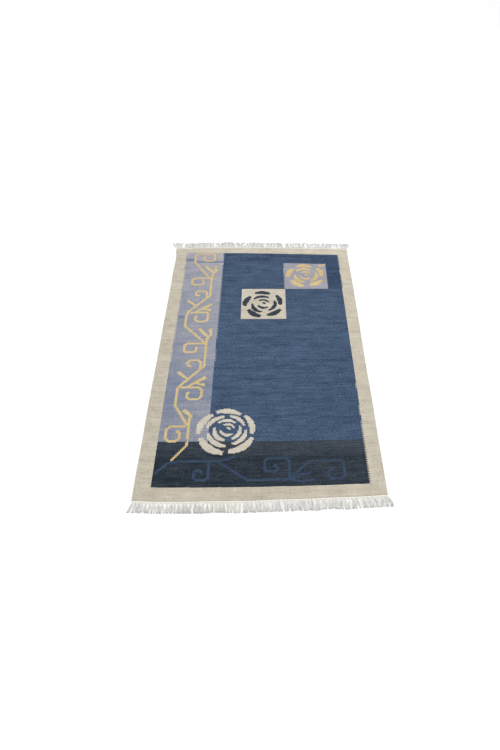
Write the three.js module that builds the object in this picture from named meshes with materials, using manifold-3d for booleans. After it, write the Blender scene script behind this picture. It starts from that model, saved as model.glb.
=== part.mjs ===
// A flat-woven kilim lying on the floor, in millimetres, with +Z up. Its length runs along Y, the
// near end at -Y, and its underside rests on the plane z = 0. The woven cloth is one flat solid.
// A narrow cotton header follows each end, and carries the bunches of the fringe.

import * as THREE from "three";
import { mergeVertices } from "three/addons/utils/BufferGeometryUtils.js";
import Module from "manifold-3d";

// The cloth as it was woven
const rugWidth = 1200;
const rugLength = 2000;
const rugThickness = 4;

// How far each corner lies from that of a true rectangle, [across, along]
const cornerShift = {
  nearLeft: [-18, -9.5],
  nearRight: [-16.7, 23],
  farRight: [16, -11.5],
  farLeft: [17.5, -1],
};

// Each edge runs anticlockwise to the next corner. It bows outwards in its middle, and waves in and
// out between the named shares of its length, [share, how far out].
const edgeTable = [
  {
    from: "nearLeft",
    to: "nearRight",
    bow: 12,
    waves: [
      [0, 0],
      [0.1, 3.3],
      [0.2, 3.5],
      [0.33, 1],
      [0.45, 2.2],
      [0.6, -0.6],
      [0.69, 0.4],
      [0.76, -1],
      [0.88, 0.9],
      [1, 0],
    ],
    steps: 40,
  },
  {
    from: "nearRight",
    to: "farRight",
    bow: 0.5,
    waves: [
      [0, 0],
      [0.16, -1.2],
      [0.27, 0],
      [0.42, -1.6],
      [0.54, -1],
      [0.65, 0.7],
      [0.75, 0.3],
      [0.93, -0.8],
      [1, 0],
    ],
    steps: 50,
  },
  {
    from: "farRight",
    to: "farLeft",
    bow: 10.5,
    waves: [
      [0, 0],
      [0.1, -2],
      [0.35, -2],
      [0.55, 0.8],
      [0.72, 1.8],
      [0.84, 0.4],
      [0.94, -3],
      [1, 0],
    ],
    steps: 40,
  },
  {
    from: "farLeft",
    to: "nearLeft",
    bow: 0,
    waves: [
      [0, 0],
      [0.06, -8.5],
      [0.13, -5.2],
      [0.19, -6.8],
      [0.4, -3.5],
      [0.5, -3.4],
      [0.68, -0.6],
      [0.75, 0.1],
      [0.82, -0.7],
      [0.92, 0],
      [1, 0],
    ],
    steps: 60,
  },
];
const nearEdge = edgeTable[0];
const farEdge = edgeTable[2];

// The header strips, parted from the cloth by a hair
const headerGap = 0.32;
const headerDepth = 7;
const headerHeight = 3;

// The fringe: bunches of warp ends, each lying on the floor in two strands, left and right
const bunchCount = 63;
const strandSides = [-1, 1];
const strandTopShare = 0.55; // the width of a strand's top face over that of its foot
const rootDepth = 5; // how far a strand reaches into the header
const rootSpread = 3.6; // from the middle of a bunch to each of its strands, at the root
const tipSpread = 4.4;
const strandTable = [
  { share: 0, width: 4.6, height: 2.6 },
  { share: 0.5, width: 5.6, height: 2.4 },
  { share: 1, width: 4.2, height: 1.8 },
];

// How the bunches differ: the turn, in radians, from one bunch or strand to the next of the waves
// that set their lean, curl and length, and the power by which a lean grows towards the tip
const rippleTurn = 0.9;
const rippleShare = 0.6;
const curlTurn = 1.7;
const lengthTurn = 5.6;
const leanPower = 1.4;

// Each end's own lie: the lean of the first and last bunch at the tip, how fast that dies away
// towards the middle, and the sway of all bunches in slow waves
const fringeTable = {
  near_fringe: {
    edge: nearEdge,
    strandLength: 54,
    firstLean: -17,
    lastLean: 17,
    leanReach: 3.5,
    sway: 3.5,
    swayWaves: 7,
    curl: 1.2,
    uneven: 2.5,
  },
  far_fringe: {
    edge: farEdge,
    strandLength: 60,
    firstLean: -20,
    lastLean: 32,
    leanReach: 2.5,
    sway: 4,
    swayWaves: 5,
    curl: 2.2,
    uneven: 3.5,
  },
};

const woolColor = 0x44586f;
const cottonColor = 0xe9e7df;

// The corners' places, from the middle of the cloth
function cornerPoint(name) {
  const [across, along] = cornerShift[name];
  const sideways = name.endsWith("Left") ? -1 : 1;
  const lengthways = name.startsWith("near") ? -1 : 1;
  return new THREE.Vector2(
    (sideways * rugWidth) / 2 + across,
    (lengthways * rugLength) / 2 + along,
  );
}

// How far out an edge waves at share t of its length, eased between the two named shares beside it
function waveAt(waves, t) {
  const next = Math.max(
    1,
    waves.findIndex(([share]) => share >= t),
  );
  const [before, low] = waves[next - 1];
  const [after, high] = waves[next];
  return low + (high - low) * THREE.MathUtils.smoothstep(t, before, after);
}

// A point of an edge, at share t of its length and a distance out from the cloth
function edgePoint(edge, t, out = 0) {
  const start = cornerPoint(edge.from);
  const end = cornerPoint(edge.to);
  const chord = end.clone().sub(start);
  const outward = new THREE.Vector2(chord.y, -chord.x).normalize();
  const bowed = edge.bow * 4 * t * (1 - t);
  const waved = waveAt(edge.waves, t);
  return start.addScaledVector(chord, t).addScaledVector(outward, bowed + waved + out);
}

function edgePoints(edge, out) {
  return Array.from({ length: edge.steps + 1 }, (_, k) => edgePoint(edge, k / edge.steps, out));
}

function extruded(points, height) {
  const geometry = new THREE.ExtrudeGeometry(new THREE.Shape(points), {
    depth: height,
    bevelEnabled: false,
  });
  return bareGeometry(geometry);
}

// The same geometry with positions alone, and its shared points merged
function bareGeometry(geometry) {
  geometry.deleteAttribute("normal");
  geometry.deleteAttribute("uv");
  return mergeVertices(geometry, 1e-4);
}

// A closed solid through sections of as many points each, every section running anticlockwise as
// seen from the last one
function lofted(sections) {
  const count = sections[0].length;
  const faces = [];
  for (let s = 0; s + 1 < sections.length; s += 1) {
    for (let k = 0; k < count; k += 1) {
      const a = s * count + k;
      const b = s * count + ((k + 1) % count);
      faces.push(a, b, b + count, a, b + count, a + count);
    }
  }
  const last = (sections.length - 1) * count;
  for (let k = 1; k + 1 < count; k += 1) {
    faces.push(0, k + 1, k, last, last + k, last + k + 1);
  }
  const geometry = new THREE.BufferGeometry();
  const positions = sections.flat().flatMap((p) => p.toArray());
  geometry.setAttribute("position", new THREE.Float32BufferAttribute(positions, 3));
  geometry.setIndex(faces);
  return geometry;
}

const wasm = await Module();
wasm.setup();

function solidOf(geometry) {
  const mesh = new wasm.Mesh({
    numProp: 3,
    vertProperties: new Float32Array(geometry.getAttribute("position").array),
    triVerts: new Uint32Array(geometry.getIndex().array),
  });
  return new wasm.Manifold(mesh);
}

function geometryOf(solid) {
  const mesh = solid.getMesh();
  const geometry = new THREE.BufferGeometry();
  geometry.setAttribute("position", new THREE.Float32BufferAttribute(mesh.vertProperties, 3));
  geometry.setIndex(new THREE.Uint32BufferAttribute(mesh.triVerts, 1));
  return geometry;
}

// The cloth: its four uneven edges, one after the other, raised to its thickness
function clothGeometry() {
  const outline = edgeTable.flatMap((edge) => edgePoints(edge, 0).slice(0, -1));
  return extruded(outline, rugThickness);
}

// The header: a strip between two lines that run beside the end of the cloth
function headerSolid(edge) {
  const inner = edgePoints(edge, headerGap);
  const outer = edgePoints(edge, headerGap + headerDepth).reverse();
  return solidOf(extruded([...outer, ...inner], headerHeight));
}

// How far a bunch leans sideways at its tip: the splay of the ends, and slow waves between
function bunchLean(lie, index) {
  const fromFirst = Math.exp(-((index / lie.leanReach) ** 2));
  const fromLast = Math.exp(-(((bunchCount - 1 - index) / lie.leanReach) ** 2));
  const share = index / (bunchCount - 1);
  const slowWave = Math.sin(2 * Math.PI * lie.swayWaves * share);
  const ripple = rippleShare * Math.sin(index * rippleTurn);
  const middle = lie.sway * (slowWave + ripple) * (1 - Math.max(fromFirst, fromLast));
  return lie.firstLean * fromFirst + lie.lastLean * fromLast + middle;
}

// One strand: a low four-sided bar that lies on the floor, from inside the header to its tip
function strandSolid(lie, index, side) {
  const chord = cornerPoint(lie.edge.to).sub(cornerPoint(lie.edge.from)).normalize();
  const outward = new THREE.Vector2(chord.y, -chord.x);
  const footWay = chord.clone().negate();
  const pitch = (rugWidth - 2 * tipSpread) / bunchCount;
  const t = ((index + 0.5) * pitch + tipSpread) / rugWidth;
  const root = edgePoint(lie.edge, t, headerGap + headerDepth - rootDepth);
  const length = rootDepth + lie.strandLength + lie.uneven * Math.sin(index * lengthTurn + side);
  const rootSide = side * rootSpread;
  const tipSide = side * tipSpread + bunchLean(lie, index);
  const sections = strandTable.map(({ share, width, height }) => {
    const leant = rootSide + (tipSide - rootSide) * share ** leanPower;
    const curled = lie.curl * Math.sin(Math.PI * share) * Math.sin(index * curlTurn);
    const middle = root.clone();
    middle.addScaledVector(chord, leant + curled);
    middle.addScaledVector(outward, length * share);
    const foot = width / 2;
    const top = foot * strandTopShare;
    const corners = [
      [foot, 0],
      [-foot, 0],
      [-top, height],
      [top, height],
    ];
    return corners.map(([offset, z]) => {
      const point = middle.clone().addScaledVector(footWay, offset);
      return new THREE.Vector3(point.x, point.y, z);
    });
  });
  return solidOf(lofted(sections));
}

// A header with its bunches, joined at their roots
function fringeGeometry(lie) {
  let solid = headerSolid(lie.edge);
  for (let index = 0; index < bunchCount; index += 1) {
    for (const side of strandSides) {
      solid = solid.add(strandSolid(lie, index, side));
    }
  }
  return geometryOf(solid);
}

function namedMesh(name, geometry, color) {
  geometry.computeVertexNormals();
  const material = new THREE.MeshStandardMaterial({ color, roughness: 0.95, metalness: 0 });
  const mesh = new THREE.Mesh(geometry, material);
  mesh.name = name;
  return mesh;
}

const kilim = new THREE.Group();
kilim.add(namedMesh("woven_rug", clothGeometry(), woolColor));
for (const [name, lie] of Object.entries(fringeTable)) {
  kilim.add(namedMesh(name, fringeGeometry(lie), cottonColor));
}

// The origin is the middle of all that lies on the floor, fringe included
const extent = new THREE.Box3().setFromObject(kilim);
const middle = extent.getCenter(new THREE.Vector3());
kilim.position.set(-middle.x, -middle.y, 0);

export default kilim;
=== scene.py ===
# Looks for a flat-woven kilim with a cotton fringe at both ends, lying on a studio floor.
# Everything is in metres, with +Z up, the length along Y and the near end at -Y.
import math

import bpy
import numpy as np
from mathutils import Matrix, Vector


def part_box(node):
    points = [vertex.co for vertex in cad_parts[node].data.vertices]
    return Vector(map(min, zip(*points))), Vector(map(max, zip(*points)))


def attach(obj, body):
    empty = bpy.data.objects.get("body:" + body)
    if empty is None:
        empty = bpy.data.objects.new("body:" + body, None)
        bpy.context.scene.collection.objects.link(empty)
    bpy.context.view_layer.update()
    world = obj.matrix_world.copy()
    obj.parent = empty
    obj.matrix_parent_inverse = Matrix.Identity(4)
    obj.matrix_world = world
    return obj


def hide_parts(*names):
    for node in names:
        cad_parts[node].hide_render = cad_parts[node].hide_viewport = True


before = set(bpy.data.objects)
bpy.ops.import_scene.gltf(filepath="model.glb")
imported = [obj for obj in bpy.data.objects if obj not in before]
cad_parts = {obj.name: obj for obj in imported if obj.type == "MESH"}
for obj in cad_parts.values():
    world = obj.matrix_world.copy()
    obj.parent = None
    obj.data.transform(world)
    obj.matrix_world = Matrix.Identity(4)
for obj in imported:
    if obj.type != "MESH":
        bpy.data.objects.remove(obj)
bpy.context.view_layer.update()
scene = bpy.context.scene
scene.view_settings.view_transform = "Standard"
scene.view_settings.look = "None"
mm = 0.001
print("frame loaded:", sorted(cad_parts))

# The outline on the floor, as the solids have it: the shift of each corner from that of a true
# rectangle, and for each edge its bow and its waves, (share of the length, millimetres outwards)
outline = {
    "width": 1.2,
    "length": 2.0,
    "cornerShift": {
        "nearLeft": (-0.018, -0.0095),
        "nearRight": (-0.0167, 0.023),
        "farRight": (0.016, -0.0115),
        "farLeft": (0.0175, -0.001),
    },
    "edges": {
        "near": {
            "ends": ("nearLeft", "nearRight"),
            "bow": 0.012,
            "waves": [(0, 0), (0.1, 3.3), (0.2, 3.5), (0.33, 1), (0.45, 2.2), (0.6, -0.6)]
            + [(0.69, 0.4), (0.76, -1), (0.88, 0.9), (1, 0)],
        },
        "right": {
            "ends": ("nearRight", "farRight"),
            "bow": 0.0005,
            "waves": [(0, 0), (0.16, -1.2), (0.27, 0), (0.42, -1.6), (0.54, -1), (0.65, 0.7)]
            + [(0.75, 0.3), (0.93, -0.8), (1, 0)],
        },
        "far": {
            "ends": ("farRight", "farLeft"),
            "bow": 0.0105,
            "waves": [(0, 0), (0.1, -2), (0.35, -2), (0.55, 0.8), (0.72, 1.8), (0.84, 0.4)]
            + [(0.94, -3), (1, 0)],
        },
        "left": {
            "ends": ("farLeft", "nearLeft"),
            "bow": 0.0,
            "waves": [(0, 0), (0.06, -8.5), (0.13, -5.2), (0.19, -6.8), (0.4, -3.5), (0.5, -3.4)]
            + [(0.68, -0.6), (0.75, 0.1), (0.82, -0.7), (0.92, 0), (1, 0)],
        },
    },
}

# The pattern keeps to a calmer shape than the edges, and follows them only over the border's width
calmBows = {"near": 0.010, "right": 0.0005, "far": 0.006, "left": 0.002}
calmEdges = {
    name: {"ends": outline["edges"][name]["ends"], "bow": bow, "waves": [(0, 0), (1, 0)]}
    for name, bow in calmBows.items()
}
patternShape = {
    **outline,
    "cornerShift": {
        "nearLeft": (-0.022, -0.019),
        "nearRight": (-0.015, 0.020),
        "farRight": (0.015, -0.004),
        "farLeft": (0.016, 0.003),
    },
    "edges": calmEdges,
}
borderReach = {"near": 0.075, "right": 0.070, "far": 0.045, "left": 0.075}


# A corner: half the width and length from the middle, and its own shift
def cornerPlace(shape, name):
    across, along = shape["cornerShift"][name]
    sideways = -1 if name.endswith("Left") else 1
    lengthways = -1 if name.startswith("near") else 1
    halves = np.array([sideways * shape["width"] / 2, lengthways * shape["length"] / 2])
    return halves + (across, along)


# An edge's first corner, its chord to the second one, the chord's unit vector and the outward one
def edgeFrame(shape, name):
    start, end = (cornerPlace(shape, corner) for corner in shape["edges"][name]["ends"])
    chord = end - start
    chordWay = chord / np.linalg.norm(chord)
    return start, chord, chordWay, np.array([chordWay[1], -chordWay[0]])


# How far out an edge waves at shares t, by s s (3 - 2 s) from each named share to the next
def waveAt(waves, t):
    shares, outs = np.array(waves).T
    k = np.clip(np.searchsorted(shares, t) - 1, 0, len(shares) - 2)
    s = np.clip((t - shares[k]) / (shares[k + 1] - shares[k]), 0, 1)
    return mm * (outs[k] + (outs[k + 1] - outs[k]) * s * s * (3 - 2 * s))


# Points of an edge at shares t of its length: start + chord * t, and outwards by a bow 4t(1 - t),
# the waves and a plain distance
def edgePlaces(shape, name, t, out=0.0):
    edge = shape["edges"][name]
    start, chord, _, outward = edgeFrame(shape, name)
    away = edge["bow"] * 4 * t * (1 - t) + waveAt(edge["waves"], t) + out
    return start + t[..., None] * chord + away[..., None] * outward


# The solids are centred on all that lies on the floor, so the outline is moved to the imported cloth
def packedShift(edgePoints=241):
    t = np.linspace(0, 1, edgePoints)
    ring = np.concatenate([edgePlaces(outline, name, t) for name in outline["edges"]])
    low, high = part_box("woven_rug")
    packedMiddle = (np.array(low[:2]) + np.array(high[:2])) / 2
    return packedMiddle - (ring.min(axis=0) + ring.max(axis=0)) / 2


floorShift = packedShift()

# Camera at the photograph's angle, floor and light
shot = {"focal": 571 / 750 * 36, "place": (-0.0648, -2.384, 2.356), "pitch": 47.31}

camera = bpy.data.objects.new("camera", bpy.data.cameras.new("camera"))
camera.data.lens = shot["focal"]
camera.data.sensor_width = 36
camera.location = np.array(shot["place"]) + (*floorShift, 0)
camera.rotation_euler = (math.radians(90 - shot["pitch"]), 0, 0)
scene.collection.objects.link(camera)
scene.camera = camera

studio = {
    "sky": 1.05,
    "floorSize": 60,
    "floorDrop": 0.0002,
    "floorTone": 0.93,
    "floorPatches": (2.0, 0.01),
    "keyPower": 70,
    "keySize": 3.0,
    "keyPlace": (1.2, 2.2, 3.8),
}


def addLight(name, place, size, power):
    light = bpy.data.objects.new(name, bpy.data.lights.new(name, "AREA"))
    light.data.size = size
    light.data.energy = power
    light.location = place
    back = -np.array(place) / np.linalg.norm(place)
    light.rotation_euler = (math.acos(-back[2]), 0, math.atan2(back[1], back[0]) - math.pi / 2)
    scene.collection.objects.link(light)


addLight("softbox", studio["keyPlace"], studio["keySize"], studio["keyPower"])
scene.world = bpy.data.worlds.new("studioSky")
scene.world.use_nodes = True
sky = scene.world.node_tree.nodes["Background"]
sky.inputs["Color"].default_value = (1, 1, 1, 1)
sky.inputs["Strength"].default_value = studio["sky"]
print("camera and studio ready")


def makePiece(name, points, faces):
    mesh = bpy.data.meshes.new(name)
    mesh.from_pydata(points, [], faces)
    mesh.polygons.foreach_set("use_smooth", np.ones(len(faces), dtype=bool))
    mesh.update()
    piece = bpy.data.objects.new(name, mesh)
    scene.collection.objects.link(piece)
    return piece


def addAttribute(piece, name, kind, values, domain="POINT"):
    attribute = piece.data.attributes.new(name, kind, domain)
    field = "vector" if kind == "FLOAT_VECTOR" else "value"
    attribute.data.foreach_set(field, np.asarray(values, dtype=np.float32).ravel())


# Each corner of each face takes the flat drawing's place of its point
def addDrawing(piece, places):
    corners = np.empty(len(piece.data.loops), dtype=np.int32)
    piece.data.loops.foreach_get("vertex_index", corners)
    layer = piece.data.uv_layers.new(name="drawing")
    layer.uv.foreach_set("vector", places[corners].astype(np.float32).ravel())


# An sRGB hex colour as the linear one that a shader reads
def linear(hexColor):
    channels = np.array([int(hexColor[k : k + 2], 16) for k in (1, 3, 5)]) / 255
    low = channels / 12.92
    high = ((channels + 0.055) / 1.055) ** 2.4
    return (*np.where(channels <= 0.04045, low, high).tolist(), 1)


def addNode(tree, kind, **settings):
    node = tree.nodes.new(kind)
    for name, value in settings.items():
        setattr(node, name, value)
    return node


# A socket is linked, and a number or colour is typed in
def plug(tree, value, socket):
    if isinstance(value, bpy.types.NodeSocket):
        tree.links.new(value, socket)
    else:
        socket.default_value = value


def calc(tree, operation, *values, clamp=False):
    node = addNode(tree, "ShaderNodeMath", operation=operation, use_clamp=clamp)
    for value, socket in zip(values, node.inputs):
        plug(tree, value, socket)
    return node.outputs[0]


def times(tree, *values):
    product = values[0]
    for value in values[1:]:
        product = calc(tree, "MULTIPLY", product, value)
    return product


def combine(tree, x, y, z=0.0):
    node = addNode(tree, "ShaderNodeCombineXYZ")
    for value, socket in zip((x, y, z), node.inputs):
        plug(tree, value, socket)
    return node.outputs[0]


def separate(tree, vector):
    node = addNode(tree, "ShaderNodeSeparateXYZ")
    tree.links.new(vector, node.inputs[0])
    return node.outputs


def mixColor(tree, factor, a, b, blend="MIX"):
    node = addNode(tree, "ShaderNodeMix", data_type="RGBA", blend_type=blend)
    plug(tree, factor, node.inputs[0])
    plug(tree, a, node.inputs[6])
    plug(tree, b, node.inputs[7])
    return node.outputs[2]


def noise(tree, vector, scale=1.0, detail=2.0, roughness=0.5):
    node = addNode(tree, "ShaderNodeTexNoise")
    tree.links.new(vector, node.inputs["Vector"])
    for name, value in (("Scale", scale), ("Detail", detail), ("Roughness", roughness)):
        plug(tree, value, node.inputs[name])
    return node.outputs[0]


# A new group: sockets are (name, kind, default), and the maker returns a value for each output
def makeGroup(name, takes, gives, maker):
    tree = bpy.data.node_groups.new(name, "ShaderNodeTree")
    for label, kind, default in takes:
        socket = tree.interface.new_socket(label, in_out="INPUT", socket_type="NodeSocket" + kind)
        if default is not None:
            socket.default_value = default
    for label, kind in gives:
        tree.interface.new_socket(label, in_out="OUTPUT", socket_type="NodeSocket" + kind)
    outer = addNode(tree, "NodeGroupInput").outputs
    results = maker(tree, {label: outer[label] for label, _, _ in takes})
    end = addNode(tree, "NodeGroupOutput")
    for label, _ in gives:
        tree.links.new(results[label], end.inputs[label])
    return tree


def useGroup(tree, group, **values):
    node = addNode(tree, "ShaderNodeGroup", node_tree=group)
    for name, value in values.items():
        plug(tree, value, node.inputs[name])
    return node.outputs


def typeIn(node, values):
    for name, value in values.items():
        node.inputs[name].default_value = value


def startMaterial(name):
    material = bpy.data.materials.new(name)
    material.use_nodes = True
    return material, material.node_tree, material.node_tree.nodes["Principled BSDF"]


# The colour times a grey tone
def shade(tree, shader, color, tone):
    toned = mixColor(tree, 1.0, color, combine(tree, tone, tone, tone), "MULTIPLY")
    tree.links.new(toned, shader.inputs["Base Color"])


# Bump from a height in metres
def addBump(tree, shader, height, strength):
    node = addNode(tree, "ShaderNodeBump")
    typeIn(node, {"Strength": strength, "Distance": 1.0})
    tree.links.new(height, node.inputs["Height"])
    tree.links.new(node.outputs["Normal"], shader.inputs["Normal"])


# The pace a metre at which rows drift, and the parts of the relief
weaveLook = {"driftPace": 7.0, "plain": 0.7, "swell": 0.2, "rib": 0.1}


# Weft-faced plain weave on the flat drawing. The weft arches across each row, and swells over every
# second warp, one warp further on in the next row, with a rib over each warp. Cell is the way to the
# middle of the place where a block's edge may turn, two warps wide and one row high. Tooth is a shift
# of one warp in every other band of rows.
def weaveMaker(tree, given):
    x, y, _ = separate(tree, given["Drawing"])
    drift = calc(tree, "SUBTRACT", noise(tree, given["Drawing"], weaveLook["driftPace"]), 0.5)
    beaten = calc(tree, "MULTIPLY_ADD", drift, given["Unevenness"], y)
    rows = calc(tree, "DIVIDE", beaten, given["Weft Pitch"])
    row = calc(tree, "FLOOR", rows)
    acrossRow = calc(tree, "MULTIPLY_ADD", calc(tree, "FRACT", rows), 2.0, -1.0)
    arch = calc(tree, "SUBTRACT", 1.0, times(tree, acrossRow, acrossRow))
    oddRow = times(tree, calc(tree, "MODULO", row, 2.0), math.pi)
    turns = calc(tree, "DIVIDE", x, given["Warp Pitch"])
    swell = calc(tree, "COSINE", calc(tree, "MULTIPLY_ADD", turns, math.pi, oddRow))
    rib = calc(tree, "COSINE", times(tree, turns, 2 * math.pi))
    swollen = calc(tree, "MULTIPLY_ADD", swell, weaveLook["swell"], weaveLook["plain"])
    column = calc(tree, "MULTIPLY_ADD", rib, weaveLook["rib"], swollen)
    relief = times(tree, arch, column)
    tone = addNode(tree, "ShaderNodeTexWhiteNoise", noise_dimensions="1D")
    tree.links.new(row, tone.inputs["W"])
    toMiddle = []
    for along, pitch, count in ((x, given["Warp Pitch"], 2.0), (y, given["Weft Pitch"], 1.0)):
        size = times(tree, pitch, count)
        place = calc(tree, "FRACT", calc(tree, "DIVIDE", along, size))
        toMiddle.append(times(tree, calc(tree, "SUBTRACT", 0.5, place), size))
    teeth = calc(tree, "DIVIDE", y, given["Tooth Height"])
    tooth = calc(tree, "LESS_THAN", calc(tree, "FRACT", teeth), 0.5)
    return {
        "Relief": relief,
        "Row Tone": tone.outputs["Value"],
        "Cell": combine(tree, *toMiddle),
        "Tooth": times(tree, tooth, given["Warp Pitch"]),
    }


weaveGroup = makeGroup(
    "weftFacedWeave",
    [("Drawing", "Vector", None), ("Warp Pitch", "Float", 0.0035), ("Weft Pitch", "Float", 0.014 / 9)]
    + [("Unevenness", "Float", 0.004), ("Tooth Height", "Float", 0.014)],
    [("Relief", "Float"), ("Row Tone", "Float"), ("Cell", "Vector"), ("Tooth", "Float")],
    weaveMaker,
)


# A block of colour: inside where Left < x - Lean y < Right and Near < y - Near Rise x, and
# y - Far Rise x < Far
def blockMaker(tree, given):
    x, y, _ = separate(tree, given["Place"])
    leant = calc(tree, "SUBTRACT", x, times(tree, y, given["Lean"]))
    fromNear = calc(tree, "SUBTRACT", y, times(tree, x, given["Near Rise"]))
    fromFar = calc(tree, "SUBTRACT", y, times(tree, x, given["Far Rise"]))
    mask = calc(tree, "GREATER_THAN", leant, given["Left"])
    for test in (
        calc(tree, "LESS_THAN", leant, given["Right"]),
        calc(tree, "GREATER_THAN", fromNear, given["Near"]),
        calc(tree, "LESS_THAN", fromFar, given["Far"]),
    ):
        mask = times(tree, mask, test)
    return {"Mask": mask}


blockColumns = ("Left", "Right", "Near", "Far", "Lean", "Near Rise", "Far Rise")
blockGroup = makeGroup(
    "colourBlock",
    [("Place", "Vector", None)] + [(label, "Float", 0.0) for label in blockColumns],
    [("Mask", "Float")],
    blockMaker,
)


# Wool dyed by hand, between two shades. Share = Bias, and for each noise its amount (n - 0.5): streaks
# along the weft, wider bands, a heather of short lengths, and clouds. Each has its pace a metre
# across and along.
dyeNoises = {
    "Streak": (9.0, 150.0),
    "Band": (2.2, 34.0),
    "Heather": (80.0, 170.0),
    "Cloud": (13.0, 18.0),
}


def dyeMaker(tree, given):
    x, y, _ = separate(tree, given["Drawing"])
    share = given["Bias"]
    for label, (paceX, paceY) in dyeNoises.items():
        place = combine(tree, times(tree, x, paceX), times(tree, y, paceY), given["Lot"])
        centred = calc(tree, "SUBTRACT", noise(tree, place, detail=2.5, roughness=0.6), 0.5)
        share = calc(tree, "MULTIPLY_ADD", centred, given[label], share)
    share = calc(tree, "MINIMUM", calc(tree, "MAXIMUM", share, 0.0), 1.0)
    return {"Color": mixColor(tree, share, given["Shade A"], given["Shade B"])}


dyeGroup = makeGroup(
    "handDyedWool",
    [("Drawing", "Vector", None), ("Shade A", "Color", None), ("Shade B", "Color", None)]
    + [(label, "Float", 0.0) for label in (*dyeNoises, "Bias", "Lot")],
    [("Color", "Color")],
    dyeMaker,
)


# Loose fibres: a fine speckle that lightens, darkens and roughens the surface a little
def fibreMaker(tree, given):
    speckle = noise(tree, given["Vector"], given["Scale"], detail=3.0, roughness=0.7)
    centred = calc(tree, "SUBTRACT", speckle, 0.5)
    return {
        "Tone": calc(tree, "MULTIPLY_ADD", centred, given["Contrast"], 1.0),
        "Height": times(tree, centred, given["Depth"]),
    }


fibreGroup = makeGroup(
    "looseFibres",
    [("Vector", "Vector", None), ("Scale", "Float", 900.0)]
    + [("Contrast", "Float", 0.2), ("Depth", "Float", 0.0003)],
    [("Tone", "Float"), ("Height", "Float")],
    fibreMaker,
)
print("effects ready")

# The figures, in millimetres of the flat drawing from its near left corner


# A path of straight legs with a quarter turn after each. Its corners are cut off, by no more than a
# share of a leg.
def squareCurl(start, heading, hand, legs, cut, most=0.42):
    ways = np.radians(heading + 90 * hand * np.arange(len(legs)))
    steps = np.array(legs)[:, None] * np.stack([np.cos(ways), np.sin(ways)], axis=1)
    corners = np.concatenate([[start], start + np.cumsum(steps, axis=0)])
    path = [corners[0]]
    for before, corner, after in zip(corners[:-2], corners[1:-1], corners[2:]):
        for other in (before, after):
            reach = np.linalg.norm(other - corner)
            path.append(corner + (other - corner) * min(cut, most * reach) / reach)
    return np.array([*path, corners[-1]])


# A petal: a strip along a few points about the heart, each given as an angle in degrees, a reach and a
# width. Its outline has straight edges, half the width to either side of each point.
def petalOutline(heart, angles, reaches, widths, stretch):
    angle, half = np.radians(angles), widths / 2
    path = heart + np.stack([reaches * np.cos(angle), stretch * reaches * np.sin(angle)], axis=1)
    way = np.gradient(path, axis=0)
    way /= np.linalg.norm(way, axis=1, keepdims=True)
    aside = half[:, None] * np.stack([-way[:, 1], way[:, 0]], axis=1)
    return np.concatenate([path + aside, (path - aside)[::-1]])


# A vine of two like units, one after the other, with curls and leaves at its junctions and bends
vine = {
    "line": 14,
    "cut": 16,
    "leafWidths": (13, 20),
    "junctions": [(272, 1660), (277, 1042)],
    "bends": [(3, -180), (-128, -340), (-131, -465)],
    "landings": [(277, 1042), (225, 440)],
    "sprigs": [[(0, 0), (10, 55), (-50, 130)], [(5, 40), (25, 80), (20, 130)]],
    "junctionCurl": {"start": (-5, 0), "heading": 180, "hand": 1, "legs": (120, 70, 75, 40, 10)},
    "bendCurl": {"start": (-20, -25), "heading": 90, "hand": 1, "legs": (70, 75, 45, 28)},
    "lowCurl": {"start": (15, 0), "heading": 0, "hand": -1, "legs": (115, 84, 78, 48, 15)},
    "leaves": [[(48, 60), (-10, 115)], [(52, 5), (90, 35), (146, 76)], [(88, 32), (146, 18)]],
    "head": [(148, 1835), (255, 1665)],
    "topCurl": {"start": (148, 1830), "heading": 90, "hand": -1, "legs": (100, 131, 85, 70, 50, 10)},
    "foot": [(230, 440), (235, 340), (230, 315), (160, 225)],
    "footWidths": (14, 11),
    "footSprig": [(230, 440), (235, 505), (195, 545)],
    "footCurl": {"start": (215, 435), "heading": 180, "hand": 1, "legs": (95, 90, 70, 60, 25)},
}

# A tonal scroll along the end band: a high run, a slope down, a low run and a slope up, with a curl
# under the first, one over the second and one at the end
scroll = {
    "line": 14,
    "cut": 13,
    "stem": [(90, 150), (150, 213), (190, 220), (390, 220), (540, 110), (740, 110), (840, 210)],
    "sprigs": [
        [(390, 220), (435, 230), (480, 248)],
        [(740, 110), (790, 132), (845, 142)],
        [(740, 110), (800, 96), (860, 104)],
    ],
    "curls": [
        {"start": (350, 220), "heading": -90, "hand": -1, "legs": (105, 70, 55, 35, 20)},
        {"start": (740, 110), "heading": 90, "hand": 1, "legs": (120, 120, 75, 65, 35, 20)},
        {"start": (840, 210), "heading": 0, "hand": -1, "legs": (165, 105, 75, 50, 28)},
    ],
}

# Rings of petals about a rose's heart, each as its reach, how many petals it has, the angle of the
# first in degrees, the share of the ring that they cover, and their thickness
smallRings = [
    (9, 1, 60, 0.50, 14),
    (38, 2, 80, 0.64, 19),
    (73, 3, 100, 0.72, 25),
    (112, 5, 92, 0.72, 36),
]
bigRings = [
    (9, 1, 60, 0.50, 13),
    (36, 2, 70, 0.68, 16),
    (66, 3, 95, 0.76, 21),
    (98, 4, 50, 0.80, 25),
    (137, 5, 88, 0.86, 36),
]

# The roses' hearts, how far each is stretched lengthwise, and how its petals spiral outwards and
# grow farther out and thicker towards its heavy side
smallRose = {"rings": smallRings, "spiral": 0.10, "heavySide": 250, "farther": 0.02, "thicker": 0.10}
bigRose = {"rings": bigRings, "spiral": 0.06, "heavySide": 235, "farther": 0.12, "thicker": 0.15}
petalPoints = 9
roses = {
    "gold": {**smallRose, "heart": (895, 1690), "stretch": 0.95},
    "dark": {**smallRose, "heart": (615, 1398), "stretch": 1.0},
    "cream": {**bigRose, "heart": (434, 416), "stretch": 0.95},
}
cornerLeaf = {"path": [(990, 1790), (1012, 1800), (1034, 1810)], "widths": (20, 12)}


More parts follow.
